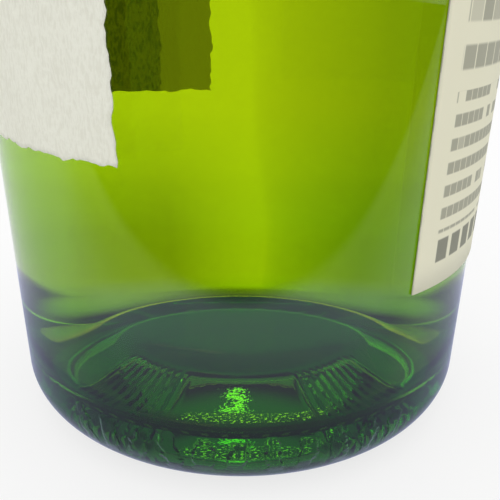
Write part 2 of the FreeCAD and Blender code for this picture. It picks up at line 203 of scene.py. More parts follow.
def sheet_mesh(name: str, front: Array, back: Array) -> Piece:
    """Closes two grids of the same size, a sheet's face and its back, into one thin solid.

    Args:
        name: The piece's name.
        front: The face's points, as rows going up of columns going right.
        back: The back's points, in the same order.

    Returns:
        The new object. Its map runs from 0 to 1 over the face, and from 2 to 3 across on the back.
    """
    rows, columns = front.shape[:2]
    count = rows * columns
    number = np.arange(count).reshape(rows, columns)
    rim = np.concatenate([number[0, :-1], number[:-1, -1], number[-1, :0:-1], number[:0:-1, 0]])
    following = np.roll(rim, -1)
    walls = np.stack([following, rim, rim + count, following + count], -1)
    faces = [grid_faces(rows, columns), grid_faces(rows, columns, count)[:, ::-1], walls]
    across, up = np.meshgrid(np.linspace(0, 1, columns), np.linspace(0, 1, rows))
    face_uv = np.stack([across, up], -1).reshape(-1, 2)
    uv = np.concatenate([face_uv, face_uv + [2, 0]])
    return build_mesh(name, np.concatenate([front.reshape(-1, 3), back.reshape(-1, 3)]), faces, uv)


def waves(place: Array, seed: int, longest: float, terms: int) -> Array:
    """Smooth uneven waves: a sum of sines of rising pitch and falling height, about 1 at most.

    Args:
        place: Where along the edge or round the turn, in the unit of longest.
        seed: Which set of phases is drawn.
        longest: The longest wave.
        terms: How many sines are added, each about 1.7 times finer than the last.

    Returns:
        The height at each place.
    """
    draw = np.random.default_rng(seed)
    pitch = FULL_TURN / longest * 1.7 ** np.arange(terms) * draw.uniform(0.85, 1.15, terms)
    phase = draw.uniform(0, FULL_TURN, terms)
    weight = 0.8 ** np.arange(terms)
    return (weight * np.sin(np.multiply.outer(place, pitch) + phase)).sum(-1) / weight.sum()


# --- Shader graphs


class Value:
    """A socket of a node tree that takes part in Python expressions as a number does."""

    def __init__(self, graph: Graph, socket: bpy.types.NodeSocket) -> None:
        """Keeps the graph that new nodes go to and the socket that holds the value."""
        self.graph = graph
        self.socket = socket

    def _math(self, operation: str, first: Any, second: Any) -> Value:
        """Adds one Math node with the operation on two values."""
        return self.graph.node("ShaderNodeMath", {"operation": operation}, {0: first, 1: second})

    def __add__(self, other: Any) -> Value:
        """This value plus another."""
        return self._math("ADD", self, other)

    def __radd__(self, other: Any) -> Value:
        """Another plus this value."""
        return self._math("ADD", other, self)

    def __sub__(self, other: Any) -> Value:
        """This value minus another."""
        return self._math("SUBTRACT", self, other)

    def __rsub__(self, other: Any) -> Value:
        """Another minus this value."""
        return self._math("SUBTRACT", other, self)

    def __mul__(self, other: Any) -> Value:
        """This value times another."""
        return self._math("MULTIPLY", self, other)

    def __rmul__(self, other: Any) -> Value:
        """Another times this value."""
        return self._math("MULTIPLY", other, self)

    def __truediv__(self, other: Any) -> Value:
        """This value divided by another."""
        return self._math("DIVIDE", self, other)

    def __rtruediv__(self, other: Any) -> Value:
        """Another divided by this value."""
        return self._math("DIVIDE", other, self)

    def above(self, other: Any) -> Value:
        """One where this value is greater than the other, and nought elsewhere."""
        return self._math("GREATER_THAN", self, other)

    def most(self, other: Any) -> Value:
        """The greater of this value and another."""
        return self._math("MAXIMUM", self, other)

    def least(self, other: Any) -> Value:
        """The smaller of this value and another."""
        return self._math("MINIMUM", self, other)

    def size(self) -> Value:
        """This value without its sign."""
        return self._math("ABSOLUTE", self, 0.0)

    def root(self) -> Value:
        """The square root of this value."""
        return self._math("SQRT", self, 0.0)

    def part(self) -> Value:
        """What is left of this value after its whole number is taken away."""
        return self._math("FRACT", self, 0.0)

    def whole(self) -> Value:
        """This value rounded down."""
        return self._math("FLOOR", self, 0.0)

    def climb(self, low: float, high: float) -> Value:
        """A straight climb from nought at low to one at high, either way round."""
        span = {"Value": self, "From Min": low, "From Max": high}
        return self.graph.node("ShaderNodeMapRange", None, span)

    def ramp(self, low: float, high: float) -> Value:
        """A smooth step from nought at low to one at high, either way round."""
        span = {"Value": self, "From Min": low, "From Max": high}
        return self.graph.node("ShaderNodeMapRange", {"interpolation_type": "SMOOTHSTEP"}, span)

    def around(self, middle: float, outer: float, inner: float) -> Value:
        """One within the inner distance of the middle, and smoothly down to nought at the outer."""
        return (self - middle).size().ramp(outer, inner)


class Graph:
    """One node tree, of a material or of the world, that is built from Python expressions."""

    def __init__(self, tree: bpy.types.NodeTree) -> None:
        """Empties the tree, so that everything in it comes from this graph."""
        self.tree = tree
        tree.nodes.clear()

    def node(self, kind: str, settings: dict[str, Any] | None = None,
             inputs: Sockets | None = None, output: str | int = 0) -> Value:
        """Adds a node.

        Args:
            kind: The node's type.
            settings: Its properties, such as a Math node's operation, set before its sockets.
            inputs: Socket names or numbers, with a Value to link or a constant to set.
            output: Which of its outputs is returned.

        Returns:
            The chosen output.
        """
        node = self.tree.nodes.new(kind)
        for name, setting in (settings or {}).items():
            setattr(node, name, setting)
        for name, content in (inputs or {}).items():
            socket = node.inputs[name]
            if isinstance(content, Value):
                self.tree.links.new(content.socket, socket)
            else:
                socket.default_value = content
        return Value(self, node.outputs[output]) if node.outputs else Value(self, None)

    def mix(self, share: Any, first: Any, second: Any) -> Value:
        """A colour that goes from the first to the second as share goes from nought to one."""
        colours = [tone if isinstance(tone, Value) else (*tone, 1.0) for tone in (first, second)]
        return self.node("ShaderNodeMix", {"data_type": "RGBA"},
                         {0: share, 6: colours[0], 7: colours[1]}, 2)

    def place(self) -> Value:
        """The object's own coordinates, in metres."""
        return self.node("ShaderNodeTexCoord", None, None, "Object")

    def millimetres(self, place: Value) -> Value:
        """A place in metres, in millimetres."""
        return self.stretch(place, (1 / MM, 1 / MM, 1 / MM))

    def sheet_map(self) -> tuple[Value, Value, Value]:
        """Across and up on a sheet's map, and one on its back, which starts at 2 across."""
        across, up, _ = self.split(self.node("ShaderNodeUVMap", {"uv_map": "UVMap"}))
        return across, up, across.above(1.5)

    def split(self, vector: Value) -> tuple[Value, Value, Value]:
        """The three parts of a vector, from one node."""
        first = self.node("ShaderNodeSeparateXYZ", None, {0: vector})
        outputs = first.socket.node.outputs
        return first, Value(self, outputs[1]), Value(self, outputs[2])

    def noise(self, vector: Value, scale: float, detail: float = 2.0, rough: float = 0.5) -> Value:
        """Soft noise about a half, with scale in waves to the metre."""
        return self.node("ShaderNodeTexNoise", None,
                         {"Vector": vector, "Scale": scale, "Detail": detail, "Roughness": rough}, 0)

    def stretch(self, vector: Value, scale: Colour) -> Value:
        """A vector scaled by its own factor on each axis."""
        return self.node("ShaderNodeVectorMath", {"operation": "MULTIPLY"}, {0: vector, 1: scale})

    def bump(self, height: Value, distance: float, strength: float = 1.0,
             normal: Value | None = None) -> Value:
        """A normal bent by a height of nought to one over the distance in metres."""
        inputs: Sockets = {"Height": height, "Distance": distance, "Strength": strength}
        if normal is not None:
            inputs["Normal"] = normal
        return self.node("ShaderNodeBump", None, inputs)


class Finish:
    """A finish that one material carries: its name and the graph that draws it."""

    name: str

    def draw(self, graph: Graph) -> None:
        """Fills the graph. Each finish has its own."""
        raise NotImplementedError

    def material(self) -> bpy.types.Material:
        """The finish as a new material."""
        material = bpy.data.materials.new(self.name)
        material.use_nodes = True
        self.draw(Graph(material.node_tree))
        return material


def surface(graph: Graph, inputs: Sockets, volume: Value | None = None) -> None:
    """Ends a material with one Principled surface and, where given, a volume.

    Args:
        graph: The material's graph.
        inputs: The surface's sockets. Colours are given as three numbers.
        volume: What fills the solid.
    """
    ready = {key: (*content, 1.0) if isinstance(content, tuple) and len(content) == 3 else content
             for key, content in inputs.items()}
    shader = graph.node("ShaderNodeBsdfPrincipled", None, ready)
    body = {"Volume": volume} if volume is not None else {}
    graph.node("ShaderNodeOutputMaterial", None, {"Surface": shader, **body})


def absorption(graph: Graph, per_metre: Colour) -> Value:
    """A plain absorbing volume with its own rate for each colour, in one over metres.

    Its density is a little over the highest rate, and its colour is what each rate leaves of it.
    """
    density = max(per_metre) * 1.05
    colour = tuple(1 - part / density for part in per_metre)
    return graph.node("ShaderNodeVolumeAbsorption", None, {"Color": (*colour, 1.0), "Density": density})


@dataclass(frozen=True)
class BottleGlass(Finish):
    """Bright green bottle glass: a clear surface and a body that takes up blue, then red.

    Lengths are in millimetres, turns in radians, and a bar's width and ends in shares of its
    cell and its reach. A mask is nought at its pair's first number and one at the second.
    """

    name: str = "bottle_green_glass"
    index: float = 1.52
    taken_per_metre: Colour = (130.0, 45.0, 560.0)
    relief: float = 0.6
    marks_middle: float = 1.705
    flank: float = 0.7195
    rib_count: float = 84.0
    rib_share: float = 0.6
    rib_first: Pair = (0.40, 0.55)
    rib_last: Pair = (1.25, 1.05)
    rib_underside: Pair = (19.5, 19.0)
    rib_inner: Pair = (13.5, 16.0)
    rib_outer: Pair = (25.0, 23.5)
    bar_count: float = 50.0
    bar_share: float = 0.22
    bar_height: float = 7.5
    bar_reach: float = 2.9
    bar_lean: float = 0.35
    bar_width: Pair = (0.30, 0.18)
    bar_ends: Pair = (0.90, 0.30)
    bar_front: Pair = (0.75, 0.50)
    bar_innermost: float = 36.2

    def ribs(self, radius: Value, turn: Value, up: Value) -> Value:
        """Two fans of fine radial ribs on the underside of the push-up's flank.

        The radius times the slope's sine plus the height times its cosine is the same all along
        the flank, and greater on the floor inside.
        """
        side = radius * math.sin(self.flank) + up * math.cos(self.flank)
        ridge = ((turn * (self.rib_count / FULL_TURN)).part() - 0.5).size() * 2.0
        away = (turn - self.marks_middle).size()
        fans = away.ramp(*self.rib_first) * away.ramp(*self.rib_last)
        belt = radius.ramp(*self.rib_inner) * radius.ramp(*self.rib_outer)
        return ridge * fans * side.ramp(*self.rib_underside) * belt

    def bars(self, radius: Value, turn: Value, up: Value) -> Value:
        """A belt of raised bars on the heel's front, each leaning and as long as its cell has it.

        A cell's chance is its number times the golden section, less the whole number in it.
        """
        cell = turn * (self.bar_count / FULL_TURN)
        chance = (cell.whole() * 0.6180339).part()
        across, rise = cell.part() - 0.5, (up - self.bar_height) / self.bar_reach
        bar = (across + rise * (chance - 0.5) * self.bar_lean).size().ramp(*self.bar_width)
        bar = bar * (rise.size() - chance * 0.5).ramp(*self.bar_ends)
        return bar * turn.around(self.marks_middle, *self.bar_front) * radius.above(self.bar_innermost)

    def draw(self, graph: Graph) -> None:
        """A constant clear surface whose normal is bent by ripples, ribs and heel bars."""
        place = graph.place()
        east, north, up = graph.split(graph.millimetres(place))
        radius = (east * east + north * north).root()
        turn = graph.node("ShaderNodeMath", {"operation": "ARCTAN2"}, {0: east, 1: north * -1.0})
        ripple = graph.noise(graph.stretch(place, (1.0, 1.0, 0.5)), 55.0, 1.0)
        bend = graph.noise(place, 420.0) - 0.5
        marks = self.bars(radius, turn + bend * 0.07, up) * self.bar_share
        marks = marks + self.ribs(radius, turn + bend * 0.03, up) * self.rib_share
        normal = graph.bump(marks, self.relief * MM, 1.0, graph.bump(ripple, 0.12 * MM, 0.6))
        surface(graph, {"Base Color": (1.0, 1.0, 1.0), "Roughness": 0.0, "IOR": self.index,
                        "Transmission Weight": 1.0, "Normal": normal},
                absorption(graph, self.taken_per_metre))


@dataclass(frozen=True)
class Spirit(Finish):
    """Pale gold whisky: clear, and taking up more blue than the rest."""

    name: str = "whisky_spirit"
    index: float = 1.36
    taken_per_metre: Colour = (2.0, 5.0, 38.0)

    def draw(self, graph: Graph) -> None:
        """A constant clear surface over a plain absorbing volume."""
        surface(graph, {"Base Color": (1.0, 1.0, 1.0), "Roughness": 0.0, "IOR": self.index,
                        "Transmission Weight": 1.0}, absorption(graph, self.taken_per_metre))


@dataclass(frozen=True)
class WashiPaper(Finish):
    """Handmade off-white paper with fine fibres, whose glued back is darkened by painted shade and glows
    faintly with painted light.
    """

    name: str = "washi_paper"
    face: Colour = (0.810, 0.812, 0.712)
    shade: Colour = (0.726, 0.722, 0.620)
    # painted shade: the back's colour is darkened for the shade it sits in inside the bottle
    back: Colour = (0.20, 0.21, 0.17)
    # painted light: emission colours of the back, standing for light from behind the paper
    lit_through: Colour = (0.09, 0.095, 0.10)
    lit_brighter: Colour = (0.19, 0.175, 0.11)
    lit_margin: Colour = (0.31, 0.28, 0.25)
    margin: float = 0.065
    fibre_height: float = 0.12

    def fibres(self, graph: Graph, place: Value) -> Value:
        """Fine noise stretched across, with strands where a second noise is close to a half."""
        cross = graph.noise(graph.stretch(place, (1.0, 1.0, 3.2)), 520.0, 5.0, 0.65)
        strand = graph.noise(graph.stretch(place, (2.6, 2.6, 0.8)), 760.0, 3.0)
        return cross * 0.6 + (1.0 - ((strand - 0.5).size() * 7.0).least(1.0)) * 0.4

    def draw(self, graph: Graph) -> None:
        """The fibres lighten the face and stand up in the normal, and the back glows faintly.

        The glow is painted light: an emission that stands for light from behind the paper. It is brighter in
        a margin at one end.
        """
        place = graph.place()
        cloud, fibres = graph.noise(place, 90.0, 4.0), self.fibres(graph, place)
        tone = graph.mix((cloud * 0.35 + fibres * 0.65).ramp(0.25, 0.75), self.shade, self.face)
        across, _, behind = graph.sheet_map()
        lit = graph.mix(fibres.ramp(0.25, 0.75), self.lit_through, self.lit_brighter)
        lit = graph.mix(across.above(2 + self.margin), self.lit_margin, lit)
        # on the back, painted shade in the base colour and painted light in the emission
        surface(graph, {"Base Color": graph.mix(behind, tone, self.back), "Roughness": 0.92,
                        "Emission Color": graph.mix(behind, (0.0, 0.0, 0.0), lit),
                        "Emission Strength": 1.0, "Specular IOR Level": 0.25,
                        "Normal": graph.bump(fibres, self.fibre_height * MM, 0.7)})


@dataclass(frozen=True)
class PrintedPaper(Finish):
    """Smooth cream paper with rows of plain grey dashes, which stand for small print.

    Places are shares of the label's width and height. Above one height the rows are larger.
    """

    name: str = "cream_printed_paper"
    face: Colour = (0.752, 0.730, 0.560)
    # painted shade: the back's colour is darkened for the shade it sits in inside the bottle
    back: Colour = (0.30, 0.29, 0.20)
    ink: Colour = (0.12, 0.125, 0.10)
    rows: float = 31.0
    columns: float = 38.0
    large_above: float = 0.28
    large_fewer: float = 0.45
    printed_across: Band = (0.5, 0.440, 0.434)
    lowest_row: Pair = (0.082, 0.086)
    highest_row: Pair = (0.94, 0.93)
    heading_columns: float = 17.0
    heading_up: Band = (0.056, 0.019, 0.016)
    heading_end: Pair = (0.50, 0.49)

    def dashes(self, graph: Graph, across: Value, up: Value) -> Value:
        """Rows of cells, each row shifted by its own number, which soft noise fills or leaves."""
        scale = 1.0 - up.above(self.large_above) * self.large_fewer
        row = up * scale * self.rows
        column = across * scale * self.columns + (row.whole() * 12.9898).part() * 7.0
        cell = graph.node("ShaderNodeCombineXYZ", None, {0: column.whole(), 1: row.whole()})
        dash = row.part().around(0.5, 0.30, 0.22) * column.part().around(0.5, 0.49, 0.43)
        return dash * graph.noise(cell, 3.7, 0.0).ramp(0.38, 0.42)

    def draw(self, graph: Graph) -> None:
        """Dashes inside the margins, and one row of larger ones at the lower left."""
        across, up, behind = graph.sheet_map()
        inside = across.around(*self.printed_across)
        small = self.dashes(graph, across, up) * up.ramp(*self.lowest_row) * up.ramp(*self.highest_row)
        heading = (across * self.heading_columns).part().around(0.5, 0.40, 0.34)
        heading = heading * up.around(*self.heading_up) * across.ramp(*self.heading_end)
        front = graph.mix((small * 0.6 + heading * 0.8) * inside, self.face, self.ink)
        surface(graph, {"Base Color": graph.mix(behind, front, self.back), "Roughness": 0.6,
                        "Specular IOR Level": 0.35})


@dataclass(frozen=True)
class CapLacquer(Finish):
    """Satin black lacquer over spun aluminium."""

    name: str = "cap_black_lacquer"
    colour: Colour = (0.018, 0.018, 0.020)

    def draw(self, graph: Graph) -> None:
        """Fine rings stretched round the axis vary the roughness and the normal."""
        place = graph.place()
        grain = graph.noise(graph.stretch(place, (0.3, 0.3, 6.0)), 900.0, 3.0)
        surface(graph, {"Base Color": self.colour, "Roughness": grain * 0.12 + 0.24, "Coat Weight": 0.4,
                        "Coat Roughness": 0.18, "Normal": graph.bump(grain, 0.03 * MM, 0.5)})


# --- The bottle


@dataclass(frozen=True)
class BottleForm:
    """The bottle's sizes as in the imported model, and the curves that follow from them."""

    body_base_radius: float = 38.5
    body_top_radius: float = 41.25
    body_height: float = 153.0
    heel_radius: float = 8.0
    shoulder_radius: float = 30.0
    neck_root_radius: float = 18.0
    neck_radius: float = 14.6
    bottle_height: float = 287.0
    bearing_width: float = 3.6
    push_up_height: float = 10.2
    plateau_radius: float = 13.0
    plateau_round: float = 4.0
    foot_round: float = 2.0
    floor_thickness: float = 4.5
    knurl_count: int = 60
    knurl_width: float = 1.1
    knurl_depth: float = 0.35
    finish_radius: float = 13.4
    bead_radius: float = 16.2
    bead_bottom: float = 244.8
    bead_top: float = 249.0
    bead_round: float = 1.2
    bore_radius: float = 9.6
    rim_round: float = 0.8
    wall: float = 3.4
    corner_radius: float = 7.3
    fill_height: float = 215.0

    @property
    def taper(self) -> float:
        """The lean of the body's side from upright, in radians."""
        rise = self.body_height - self.heel_radius
        return math.atan((self.body_top_radius - self.body_base_radius) / rise)

    def side_radius(self, height: float | Array, inset: float = 0.0) -> float | Array:
        """How far the side, or a surface the inset within it, is from the axis at a height."""
        return self.body_top_radius - inset - (self.body_height - height) * math.tan(self.taper)

    @property
    def bearing_outer(self) -> float:
        """The radius at which the flat bearing ring runs into the heel's arc."""
        return self.side_radius(self.heel_radius) - self.heel_radius / math.cos(self.taper)

    def shoulder(self, inset: float, count: int) -> Array:
        """The shoulder's arc and the neck root's arc, which touch, from the side up to the neck."""
        convex, concave = self.shoulder_radius - inset, self.neck_root_radius + inset
        first = (self.body_top_radius - inset - convex * math.cos(self.taper),
                 self.body_height + convex * math.sin(self.taper))
        across = self.neck_radius - inset + concave - first[0]
        rise = math.sqrt((convex + concave) ** 2 - across**2)
        turn = math.atan2(rise, across)
        return chain(arc(first, convex, -self.taper, turn, count),
                     arc((first[0] + across, first[1] + rise), concave, math.pi + turn, math.pi, count))

    @property
    def flank(self) -> float:
        """The slope of the push-up's flank below level, which touches both of its rounds."""
        rounds = self.plateau_round + self.foot_round
        across = self.bearing_outer - self.bearing_width - self.plateau_radius
        fall = rounds - self.push_up_height
        return math.asin(rounds / math.hypot(across, fall)) - math.atan2(fall, across)

    def outside(self) -> Array:
        """The outer profile from the middle of the push-up to the outer edge of the rim.

        Each stretch is a straight run or an arc, with as many points as keep it smooth.
        """
        inner_foot = self.bearing_outer - self.bearing_width
        flank = self.flank
        plateau = arc((self.plateau_radius, self.push_up_height - self.plateau_round), self.plateau_round,
                      math.pi / 2, math.pi / 2 - flank, 12)
        foot = arc((inner_foot, self.foot_round), self.foot_round, -math.pi / 2 - flank, -math.pi / 2, 8)
        heel = arc((self.bearing_outer, self.heel_radius), self.heel_radius, -math.pi / 2, -self.taper, 30)
        shoulder = self.shoulder(0.0, 22)
        bead, bead_foot = self.bead_radius - self.bead_round, self.bead_bottom
        finish, rim = self.finish_radius, self.finish_radius - self.rim_round
        return chain(
            run((0.0, self.push_up_height), (self.plateau_radius, self.push_up_height), 5), plateau,
            run(tuple(plateau[-1]), tuple(foot[0]), 8), foot,
            run((inner_foot, 0.0), (self.bearing_outer, 0.0), 5), heel,
            run(tuple(heel[-1]), tuple(shoulder[0]), 20), shoulder,
            run(tuple(shoulder[-1]), (self.neck_radius, bead_foot), 6),
            run((self.neck_radius + 0.05, bead_foot), (bead, bead_foot), 3),
            arc((bead, bead_foot + self.bead_round), self.bead_round, -math.pi / 2, 0.0, 6),
            run((self.bead_radius, bead_foot + self.bead_round), (self.bead_radius, self.bead_top), 3),
            run((finish + 0.05, self.bead_top), (finish, self.bead_top + 0.1), 2),
            run((finish, self.bead_top + 0.2), (finish, self.bottle_height - self.rim_round), 8),
            arc((rim, self.bottle_height - self.rim_round), self.rim_round, 0.0, math.pi / 2, 6))

    def hollow(self, inset: float) -> Array:
        """The inner profile from the middle of the floor to the neck's foot, at an inset from outside.

        The floor follows the push-up at its own thickness, and one arc runs from the flank
        into the side.
        """
        thickness = self.floor_thickness + inset - self.wall
        corner = self.corner_radius - inset + self.wall
        flank = self.flank
        round_centre = (self.plateau_radius, self.push_up_height - self.plateau_round)
        crown = arc(round_centre, self.plateau_round + thickness, math.pi / 2, math.pi / 2 - flank, 16)
        reach = (round_centre[0] * math.sin(flank) + round_centre[1] * math.cos(flank)
                 + self.plateau_round + thickness + corner)
        middle = self.side_radius(0.0, inset) - corner / math.cos(self.taper)
        slope = math.tan(self.taper)
        up = (reach - middle * math.sin(flank)) / (math.cos(flank) + slope * math.sin(flank))
        bend = arc((middle + up * slope, up), corner, -math.pi / 2 - flank, -self.taper, 28)
        shoulder = self.shoulder(inset, 18)
        top = self.push_up_height + thickness
        return chain(run((0.0, top), (self.plateau_radius, top), 5), crown,
                     run(tuple(crown[-1]), tuple(bend[0]), 8), bend,
                     run(tuple(bend[-1]), tuple(shoulder[0]), 16), shoulder)

    def funnel_radius(self, height: float, inset: float) -> float:
        """How far the neck's inner surface is from the axis between the neck's foot and the bead."""
        foot = self.hollow(inset)[-1]
        share = (height - foot[1]) / (self.bead_bottom - foot[1])
        return foot[0] + share * (self.bore_radius - (inset - self.wall) - foot[0])


@dataclass
class Bottle:
    """The green glass bottle, one closed solid from push-up to rim and back down its hollow."""

    form: BottleForm = field(default_factory=BottleForm)
    segments: int = 360
    unevenness: float = 0.03

    def relief(self, ring: Array, azimuth: Array) -> Array:
        """The mould's long low waves, and the grooves between the bars of the bearing ring.

        The waves are sines of whole turns round the bottle, each leaning with the height, and
        fade towards the foot and the axis. A groove is cut up to one height wherever the glass
        stands below it.
        """
        height, turn = ring[:, 1:], azimuth[None, :]
        wave = (np.sin(3 * turn + height / 31 + 0.4) + 0.7 * np.sin(7 * turn - height / 17 + 2.1)
                + 0.5 * np.sin(11 * turn + height / 9 + ring[:, :1] / 3))
        calm = np.clip((ring[:, :1] - 16.0) / 12.0, 0, 1) * np.clip(height / 10.0, 0, 1)
        form = self.form
        pitch = FULL_TURN / form.knurl_count
        off_middle = np.abs((turn / pitch + 0.5) % 1.0 - 0.5) * pitch * ring[:, :1]
        groove = np.clip(form.knurl_depth - height, 0, None) * (off_middle < form.knurl_width / 2)
        return wave * self.unevenness * calm / 2.2 - groove

    def build(self) -> Piece:
        """Joins the outer and the inner profile over the rim, turns them and dresses the solid."""
        form = self.form
        bore, top = form.bore_radius, form.bottle_height - form.rim_round
        lip = arc((bore + form.rim_round, top), form.rim_round, math.pi / 2, math.pi, 6)
        inner = form.hollow(form.wall)
        down = chain(lip, run((bore, top), (bore, form.bead_bottom), 8),
                     run((bore, form.bead_bottom), tuple(inner[-1]), 10), inner[::-1])
        piece = turned_mesh("green_bottle", chain(form.outside(), down), self.segments, self.relief)
        piece.data.materials.append(BottleGlass(flank=form.flank).material())
        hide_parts("bottle_glass")
        return piece


@dataclass
class Drink:
    """The whisky: it reaches just into the wall, and its level climbs a little at the glass."""

    form: BottleForm = field(default_factory=BottleForm)
    overlap: float = 0.06
    climb: float = 0.9
    climb_width: float = 1.6
    segments: int = 360

    def build(self) -> Piece:
        """Closes the hollow's profile with a level that rises to the wall as a meniscus does.

        The rise is the climb times e to minus the distance from the wall over the climb's width.
        """
        form = self.form
        inset = form.wall - self.overlap
        hollow = form.hollow(inset)
        edge_height = form.fill_height + self.climb
        edge = form.funnel_radius(edge_height, inset)
        away = np.linspace(0.0, 1.0, 14) ** 0.6
        height = form.fill_height + self.climb * np.exp(-away * edge / self.climb_width)
        level = np.stack([edge * (1 - away), height], 1)
        profile = chain(hollow, run(tuple(hollow[-1]), (edge, edge_height), 8), level[1:])
        profile[-1, 0] = 0.0
        piece = turned_mesh("whisky_fill", profile, self.segments)
        piece.data.materials.append(Spirit().material())
        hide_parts("whisky")
        return piece


@dataclass
class WrappedLabel:
    """A paper label wrapped on the body's side, as a face and a back a paper's thickness apart.

    The middle and the angle are in degrees and the rest in millimetres. The tilt is how far the
    label falls for each millimetre to the right, and ragged is how deep its edges are torn.
    """

    name: str
    node: str
    slot: str
    finish: Finish
    middle: float
    angle: float
    low: float
    high: float
    tilt: float = 0.0
    ragged: float = 0.0
    longest_tear: float = 9.0
    rows: int = 120
    columns: int = 180
    glue_gap: float = 0.10
    paper: float = 0.22
    form: BottleForm = field(default_factory=BottleForm)

    def edges(self, across: Array, up: Array) -> tuple[Array, Array]:
        """Where each point of the sheet is: its azimuth from the middle and its height.

        Each edge wanders by waves along its own length, and the sheet stretches between them.

        Args:
            across: From 0 at the left edge to 1 at the right.
            up: From 0 at the lower edge to 1 at the upper.

        Returns:
            The azimuth in radians and the height in millimetres.
        """
        half, radius = math.radians(self.angle) / 2, self.form.side_radius(self.low)
        length = 2 * half * radius
        along, height = across[0] * length, up[:, 0] * (self.high - self.low)
        left, right, lower, upper = (self.ragged * waves(edge, seed, self.longest_tear, 5)
                                     for seed, edge in enumerate((height, height, along, along), 11))
        azimuth = (left / radius - half)[:, None] * (1 - across) + (right / radius + half)[:, None] * across
        spot = (lower + self.low) * (1 - up) + (upper + self.high) * up
        return azimuth, spot - azimuth * radius * self.tilt

    def build(self) -> Piece:
        """Lays the two grids on the tapered side, thinner towards a ragged rim, and joins them."""
        across, up = np.meshgrid(np.linspace(0, 1, self.columns), np.linspace(0, 1, self.rows))
        azimuth, height = self.edges(across, up)
        rim = np.minimum.reduce([across * self.columns, (1 - across) * self.columns, up * self.rows,
                                 (1 - up) * self.rows])
        fullness = 1 - 0.65 * np.exp(-rim / 2.0) * (self.ragged > 0)
        turn = azimuth + math.radians(self.middle)

        def layer(offset: float | Array) -> Array:
            """The sheet's points at an offset out from the glass."""
            radius = self.form.side_radius(height) + offset
            return np.stack([radius * np.sin(turn), -radius * np.cos(turn), height], -1)

        piece = sheet_mesh(self.name, layer(self.glue_gap + self.paper * fullness), layer(self.glue_gap))
        piece.data.materials.append(self.finish.material())
        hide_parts(self.node)
        return piece


@dataclass
class Closure:
    """The screw cap and its tamper band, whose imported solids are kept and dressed."""

    nodes: tuple[str, str] = ("screw_cap", "tamper_band")

    def build(self, solids: dict[str, Piece]) -> None:
        """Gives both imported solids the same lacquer."""
        material = CapLacquer().material()
        for node in self.nodes:
            mesh = solids[node].data
            mesh.materials.clear()
            mesh.materials.append(material)


# --- The studio


def camera_axes(graph: Graph, vector: Value) -> tuple[Value, Value, Value]:
    """How far a vector reaches towards the camera's side, to the camera's right, and up.

    The first is its east and north parts times the camera azimuth's sine and minus cosine, and
    the second is the same parts times the cosine and the sine.
    """
    east, north, up = graph.split(vector)
    turn = math.radians(CAMERA_AZIMUTH)
    near = east * math.sin(turn) - north * math.cos(turn)
    return near, east * math.cos(turn) + north * math.sin(turn), up


def ray_kinds(graph: Graph) -> tuple[Value, Value, Value]:
    """One for a ray from the camera, one for a mirror's ray, and one for a ray through glass."""
    camera = graph.node("ShaderNodeLightPath", None, None, "Is Camera Ray")
    outputs = camera.socket.node.outputs
    through = Value(graph, outputs["Is Transmission Ray"])
    return camera, Value(graph, outputs["Is Glossy Ray"]) * (1.0 - through), through


